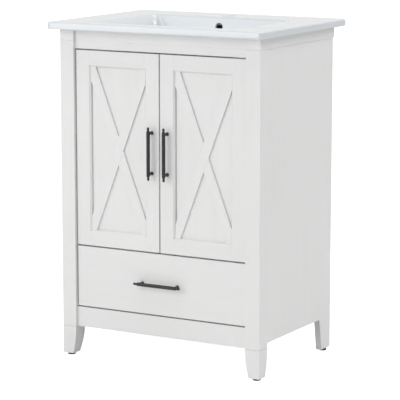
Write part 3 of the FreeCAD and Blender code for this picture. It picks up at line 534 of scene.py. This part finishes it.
# ---- Doors --------------------------------------------------------------------------
# Framed doors: two stiles, two rails, a thin panel in their grooves, and flat crossed
# braces laid on the panel.
JOINT_ROUND, BRACE_ROUND = 0.3 * MM, 0.5 * MM
PANEL_TONGUE, SLOT_WIDTH, SLOT_DEPTH, SLOT_SLOPE = 3 * MM, 0.7 * MM, 1.5 * MM, 0.15 * MM
for hand in ("left", "right"):
    body = hand + "_door"
    for part, along in (("stile_outer", "Z"), ("stile_inner", "Z"), ("rail_top", "X"),
                        ("rail_bottom", "X")):
        front_board(f"{body}_{part}", body, along, body + "_stile_inner", JOINT_ROUND)
    for part in ("brace_long", "brace_lower", "brace_upper"):
        painted_board(f"{body}_{part}", body, "Z", BRACE_ROUND)

    # The panel rests on the bottom rail, and its front drops away in a narrow slot just
    # inside the rest of the frame.
    shape = merged(body + "_panel")
    front = [face for face in shape.faces if face.normal.y < -0.9]
    level = front[0].calc_center_median().y
    for width in (PANEL_TONGUE + SLOT_WIDTH, SLOT_SLOPE):
        bmesh.ops.inset_region(shape, faces=front, thickness=width, use_even_offset=True)
    kept = {vert for face in front for vert in face.verts}
    foot = min(vert.co.z for vert in shape.verts)
    for vert in shape.verts:
        if foot + 0.1 * MM < vert.co.z < foot + 2 * PANEL_TONGUE:
            vert.co.z -= PANEL_TONGUE * 0.6
    bmesh.ops.translate(shape, vec=(0, SLOT_DEPTH, 0), verts=[
        vert for vert in shape.verts if vert not in kept and abs(vert.co.y - level) < 0.1 * MM])
    finished(shape, body + "_panel_painted", body, paint["Z"], body + "_panel")

# ---- Concealed hinges -----------------------------------------------------------------
# Nickel-plated cups pressed into 35 mm pockets behind each door, and an arm on a plate
# screwed to the upright behind the post.
HINGE_LEVELS = (374, 714.5)
CUP_CENTRE, CUP_BACK, CUP_ROUND = 224, -173.3, 0.35 * MM
CUP_SCREW, CUP_SCREW_AWAY = 3.4, 24
LINK_CENTRE, LINK_DEPTH, LINK_SIZE = 222.5, -178.6, (13, 2.2, 9)
for side, hand in ((-1, "left"), (1, "right")):
    body = hand + "_door"
    shape = rounded(merged(body + "_hinge_cups"), CUP_ROUND, shortest=0.6 * MM)
    for level in HINGE_LEVELS:
        for away in (-CUP_SCREW_AWAY, CUP_SCREW_AWAY):
            screw(shape, (side * CUP_CENTRE, CUP_BACK, level + away), (0, 1, 0), CUP_SCREW,
                  20 + away)

        # Two pins cross each cup, with the end of a link between them.
        for pin, reach in ((CUP_CENTRE - 6, 6.5), (CUP_CENTRE + 3, 5.5)):
            turned(shape, Vector((side * pin, LINK_DEPTH, level - reach)) * MM, (0, 0, 1),
                   scaled(((0, 0), (0, 1.1), (0.3, 1.5), (2 * reach - 0.3, 1.5),
                           (2 * reach, 1.1), (2 * reach, 0))), 16)
        link_plate = bmesh.ops.create_cube(shape, size=1)["verts"]
        bmesh.ops.scale(shape, vec=Vector(LINK_SIZE) * MM, verts=link_plate)
        bmesh.ops.translate(shape, vec=Vector((side * LINK_CENTRE, LINK_DEPTH, level)) * MM,
                            verts=link_plate)
        bmesh.ops.bevel(shape, geom=list({edge for vert in link_plate for edge in
                                          vert.link_edges}), offset=0.7 * MM,
                        offset_type="OFFSET", affect="EDGES", segments=2, profile=0.5,
                        material=-1)
    finished(shape, body + "_hinge_cups_plated", body, nickel, body + "_hinge_cups")

ARM_FACE, ARM_SCREW, ARM_ROUND = 231.5, 3.6, 0.9 * MM
PLATE_FACE, PLATE_MIDDLE, PLATE_SCREW = 243.5, -134.5, 3.1
shape = rounded(merged("hinge_arms"), ARM_ROUND, shortest=2 * MM)
for side in (-1, 1):
    for level in HINGE_LEVELS:
        for y, turn in ((-147, 10), (-125, 55)):
            screw(shape, (side * ARM_FACE, y, level), (-side, 0, 0), ARM_SCREW, turn)
        for away, turn in ((-11, 35), (11, 70)):
            screw(shape, (side * PLATE_FACE, PLATE_MIDDLE, level + away), (-side, 0, 0),
                  PLATE_SCREW, turn)
finished(shape, "hinge_arms_plated", "cabinet", nickel, "hinge_arms")

# ---- Bar pulls --------------------------------------------------------------------------
# Turned bars with slimmer ends on two posts, powder coated near black, and held by
# machine screws from behind the front.
PULL_LIGHT, PULL_DARK = (0.026, 0.026, 0.0255), (0.018, 0.018, 0.0175)
pull_black, tree, shader = new_material("pull_black", Roughness=0.36, Specular_IOR_Level=0.5)
place = link(tree, "ShaderNodeTexCoord").outputs["Object"]
tone = link(tree, "ShaderNodeTexNoise", {"Vector": place, "Scale": 90, "Detail": 3})
colour = mixed(tree, tone.outputs["Fac"], PULL_DARK, PULL_LIGHT)
orange_peel = link(tree, "ShaderNodeTexNoise", {"Vector": place, "Scale": 900, "Detail": 2})
gloss = link(tree, "ShaderNodeMapRange", {"Value": orange_peel.outputs["Fac"], "From Min": 0.3,
             "From Max": 0.7, "To Min": 0.3, "To Max": 0.42})
relief = link(tree, "ShaderNodeBump", {"Strength": 0.35, "Distance": 0.05 * MM,
              "Height": orange_peel.outputs["Fac"]})
tree.links.new(colour, shader.inputs["Base Color"])
tree.links.new(gloss.outputs["Result"], shader.inputs["Roughness"])
tree.links.new(relief.outputs["Normal"], shader.inputs["Normal"])

# Distance along and radius of each turned piece, from one end to the other.
BAR_PROFILE = ((0, 0), (0, 1.9), (0.25, 2.5), (0.9, 3), (8.6, 3), (9, 3.1), (11.2, 4.45),
               (11.7, 4.6), (122.3, 4.6), (122.8, 4.45), (125, 3.1), (125.4, 3), (133.1, 3),
               (133.75, 2.5), (134, 1.9), (134, 0))
POST_PROFILE = ((0, 0), (0, 4.7), (0.9, 4.9), (1.5, 4.6), (2, 4.1), (2.6, 3.8), (12.9, 3.8),
                (13.6, 4.1), (15.2, 4.1), (15.2, 0))
SHANK_PROFILE = ((-0.2, 0), (-0.2, 1.9), (27.2, 1.9), (28, 1.2), (28, 0))
HALF_PITCH, HEAD_THICKNESS, PULL_SCREW = 51 * MM, 2.4 * MM, 4
for body in ("drawer", "left_door", "right_door"):
    along = Vector((1, 0, 0)) if body == "drawer" else Vector((0, 0, 1))
    low, high = (Vector(corner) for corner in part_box(body + "_pull_bar"))
    middle, half = (low + high) / 2, (high - low).dot(along) / 2
    shape = bmesh.new()
    turned(shape, middle - along * half, along, scaled(BAR_PROFILE), 40)
    finished(closed(shape), body + "_pull_bar_turned", body, pull_black,
             body + "_pull_bar")

    posts, screws = bmesh.new(), bmesh.new()
    for way in (-1, 1):
        foot = middle + along * way * HALF_PITCH
        foot.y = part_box(body + "_pull_posts")[1][1]
        turned(posts, foot, (0, -1, 0), scaled(POST_PROFILE))
        behind = Vector((foot.x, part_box(body + "_pull_screws")[1][1] - HEAD_THICKNESS, foot.z))
        turned(screws, behind, (0, -1, 0), scaled(SHANK_PROFILE), 20)
        closed(screws)
        screw(screws, behind / MM, (0, 1, 0), PULL_SCREW, 30 * way)
    finished(closed(posts), body + "_pull_posts_turned", body, pull_black,
             body + "_pull_posts")
    finished(screws, body + "_pull_screws_plated", body, zinc, body + "_pull_screws")

# ---- Basin top --------------------------------------------------------------------------
# A fired ceramic slab and bowl in one piece, with a tap hole, a drain and an overflow,
# glazed all over but for the overflow's inside, which is matte and painted near black as
# painted shade, and bedded on the cabinet's top edges.
GLAZE_LIGHT, GLAZE_SHADE = (0.67, 0.70, 0.726), (0.655, 0.686, 0.71)
glaze, tree, shader = new_material("white_glaze", Roughness=0.12, Coat_Roughness=0.04,
                                   Specular_IOR_Level=0.5)
place = link(tree, "ShaderNodeTexCoord").outputs["Object"]
pool = link(tree, "ShaderNodeTexNoise", {"Vector": place, "Scale": 7, "Detail": 2})
colour = mixed(tree, pool.outputs["Fac"], GLAZE_SHADE, GLAZE_LIGHT)
ripple = link(tree, "ShaderNodeTexNoise", {"Vector": place, "Scale": 26, "Detail": 1})
pinholes = link(tree, "ShaderNodeTexNoise", {"Vector": place, "Scale": 420, "Detail": 1})
wave = link(tree, "ShaderNodeBump", {"Strength": 0.5, "Distance": 0.25 * MM,
            "Height": ripple.outputs["Fac"]})
skin = link(tree, "ShaderNodeBump", {"Strength": 0.15, "Distance": 0.02 * MM,
            "Height": pinholes.outputs["Fac"], "Normal": wave.outputs["Normal"]})
wet = link(tree, "ShaderNodeMapRange", {"Value": pool.outputs["Fac"], "From Min": 0.3,
           "From Max": 0.7, "To Min": 0.75, "To Max": 1.0})
tree.links.new(colour, shader.inputs["Base Color"])
tree.links.new(wet.outputs["Result"], shader.inputs["Coat Weight"])
tree.links.new(skin.outputs["Normal"], shader.inputs["Normal"])

# Matte near-black finish for the inside of the overflow chamber: its darkness is painted shade.
painted_shade_matte, tree, shader = new_material("painted_shade_matte", Roughness=0.95)
place = link(tree, "ShaderNodeTexCoord").outputs["Object"]
grit = link(tree, "ShaderNodeTexNoise", {"Vector": place, "Scale": 500, "Detail": 4})
colour = mixed(tree, grit.outputs["Fac"], (0.035, 0.032, 0.03), (0.07, 0.065, 0.06))
rough = link(tree, "ShaderNodeBump", {"Strength": 0.6, "Distance": 0.2 * MM,
             "Height": grit.outputs["Fac"]})
tree.links.new(colour, shader.inputs["Base Color"])
tree.links.new(rough.outputs["Normal"], shader.inputs["Normal"])

CORNER_STEPS = 9
SLAB_UNDER, SLAB_TOP, DRAIN_Y = 847, 865, -36


def level_loop(shape, level, half, front=0, rear=0, corner=0):
    """A level rounded rectangle of edges, or the drain's circle where only half is given."""
    if not corner:
        made = bmesh.ops.create_circle(
            shape, segments=4 * (CORNER_STEPS + 1), radius=half * MM,
            matrix=Matrix.Translation(Vector((0, DRAIN_Y, level)) * MM)
            @ Matrix.Rotation(math.tau / 8 / (CORNER_STEPS + 1), 4, "Z"))
        return list({edge for vert in made["verts"] for edge in vert.link_edges})
    verts = bmesh.ops.create_grid(shape, x_segments=1, y_segments=1, size=1)["verts"]
    for vert in verts:
        vert.co = Vector((math.copysign(half, vert.co.x), rear if vert.co.y > 0 else front,
                          level)) * MM
    made = bmesh.ops.bevel(shape, geom=verts, offset=corner * MM, offset_type="OFFSET",
                           affect="VERTICES", segments=CORNER_STEPS, profile=0.5, material=-1)
    face = made["verts"][0].link_faces[0]
    loop = list(face.edges)
    bmesh.ops.delete(shape, geom=[face], context="FACES_ONLY")
    return loop


def spot(vert):
    """A corner's place, rounded so that it can be looked up."""
    return tuple(round(value / MM, 2) for value in vert.co)


def eased(shape, loop, radius, segments=4):
    """Rounds over a loop of edges."""
    bmesh.ops.bevel(shape, geom=loop, offset=radius * MM, offset_type="OFFSET", affect="EDGES",
                    segments=segments, profile=0.5, material=-1, clamp_overlap=True)


# Level, half width, front, rear and corner radius of each loop, then the radius of its
# rounding: up the slab's edge, down the bowl to the drain, and back up the outside.
LOOPS = ((SLAB_UNDER, 307.5, -232.5, 232.5, 10, 1.2),
         (SLAB_TOP, 307.5, -232.5, 232.5, 10, 4.5), (SLAB_TOP, 209, -185, 113, 20, 5),
         (SLAB_UNDER, 190, -158, 111, 20, 9),
         (761, 156, -128, 95, 20, 11), (747, 118, -90, 57, 20, 14), (747, 22.5, 2.5),
         (738, 22.5, 1), (738, 127, -99, 66, 24, 8), (761, 165, -137, 104, 29, 8),
         (SLAB_UNDER, 199, -167, 120, 29, 0))
top, corners = bmesh.new(), []
for first, second in zip(LOOPS, LOOPS[1:] + LOOPS[:1]):
    band = bmesh.new()
    lower, upper = level_loop(band, *first[:-1]), level_loop(band, *second[:-1])
    corners.append({spot(vert) for edge in lower for vert in edge.verts})
    bmesh.ops.bridge_loops(band, edges=lower + upper)
    mesh = bpy.data.meshes.new("band")
    band.to_mesh(mesh)
    band.free()
    top.from_mesh(mesh)
    bpy.data.meshes.remove(mesh)
bmesh.ops.remove_doubles(top, verts=top.verts, dist=0.01 * MM)
closed(top)
for around, entry in zip(corners, LOOPS):
    if entry[-1]:
        eased(top, [edge for edge in top.edges if spot(edge.verts[0]) in around
                    and spot(edge.verts[1]) in around], entry[-1])


def drill(start, axis, length, radius):
    """A round bar to cut a hole with, from its start along an axis."""
    tool = bmesh.new()
    turned(tool, Vector(start) * MM, axis,
           scaled([(0, 0), (0, radius), (length, radius), (length, 0)]), 48)
    return closed(tool)


def block(width, top_level, bottom_level, top_depth, bottom_depth):
    """A block that leans with the bowl's wall; a depth is its front and rear there."""
    made = bmesh.new()
    for vert in bmesh.ops.create_cube(made, size=1)["verts"]:
        high, rear = vert.co.z > 0, vert.co.y > 0
        vert.co = Vector((math.copysign(width / 2, vert.co.x),
                          (top_depth if high else bottom_depth)[rear],
                          top_level if high else bottom_level)) * MM
    return made


def hole_rim(shape, centre, axis, radius, reach):
    """The sharp edges of a drilled hole, within a reach of a point on its axis."""
    centre, axis = Vector(centre) * MM, Vector(axis)

    def on_rim(vert):
        away = vert.co - centre
        along = away.dot(axis)
        return (abs(along) < reach * MM
                and abs((away - axis * along).length - radius * MM) < 0.05 * MM)
    return [edge for edge in shape.edges if on_rim(edge.verts[0]) and on_rim(edge.verts[1])
            and edge.calc_face_angle(0) > math.radians(30)]


# A boss behind the bowl holds the overflow's chamber.
OVERFLOW_RADIUS, OVERFLOW_LEVEL, OVERFLOW_MOUTH = 10.5, 839, 109.5
TAP_RADIUS, TAP_Y = 17.5, 160
CHAMBER_WIDTH, CHAMBER_TOP, CHAMBER_BOTTOM = 34, 843, 806
boss = block(width=46, top_level=850, bottom_level=793, top_depth=(115, 140),
             bottom_depth=(106, 128))
top = carved(top, rounded(boss, 3 * MM), "UNION")
top = carved(top, block(CHAMBER_WIDTH, CHAMBER_TOP, CHAMBER_BOTTOM, (118.5, 134), (112, 122)))
top = carved(top, drill((0, 90, OVERFLOW_LEVEL), (0, 1, 0), 35, OVERFLOW_RADIUS))
top = carved(top, drill((0, TAP_Y, 840), (0, 0, 1), 30, TAP_RADIUS))
for centre, axis, radius, reach, round_over in (
        ((0, OVERFLOW_MOUTH, OVERFLOW_LEVEL), (0, 1, 0), OVERFLOW_RADIUS, 4, 1.6),
        ((0, TAP_Y, SLAB_TOP), (0, 0, 1), TAP_RADIUS, 1, 2.5),
        ((0, TAP_Y, SLAB_UNDER), (0, 0, 1), TAP_RADIUS, 1, 1)):
    eased(top, hole_rim(top, centre, axis, radius, reach), round_over)

# The faces inside the chamber get a matte near-black finish that is painted shade, in the piece's
# second material slot.
for face in top.faces:
    middle = face.calc_center_median() / MM
    lean = (middle.z - CHAMBER_BOTTOM) / (CHAMBER_TOP - CHAMBER_BOTTOM)
    if (abs(middle.x) < CHAMBER_WIDTH / 2 + 0.4 and -0.02 < lean < 1.02
            and 111.5 + 6.5 * lean < middle.y < 122.5 + 12 * lean):
        face.material_index = 1
basin = finished(top, "vanity_top_glazed", "cabinet", glaze, "vanity_top")
# The second slot holds the near-black painted shade for the overflow chamber.
basin.data.materials.append(painted_shade_matte)
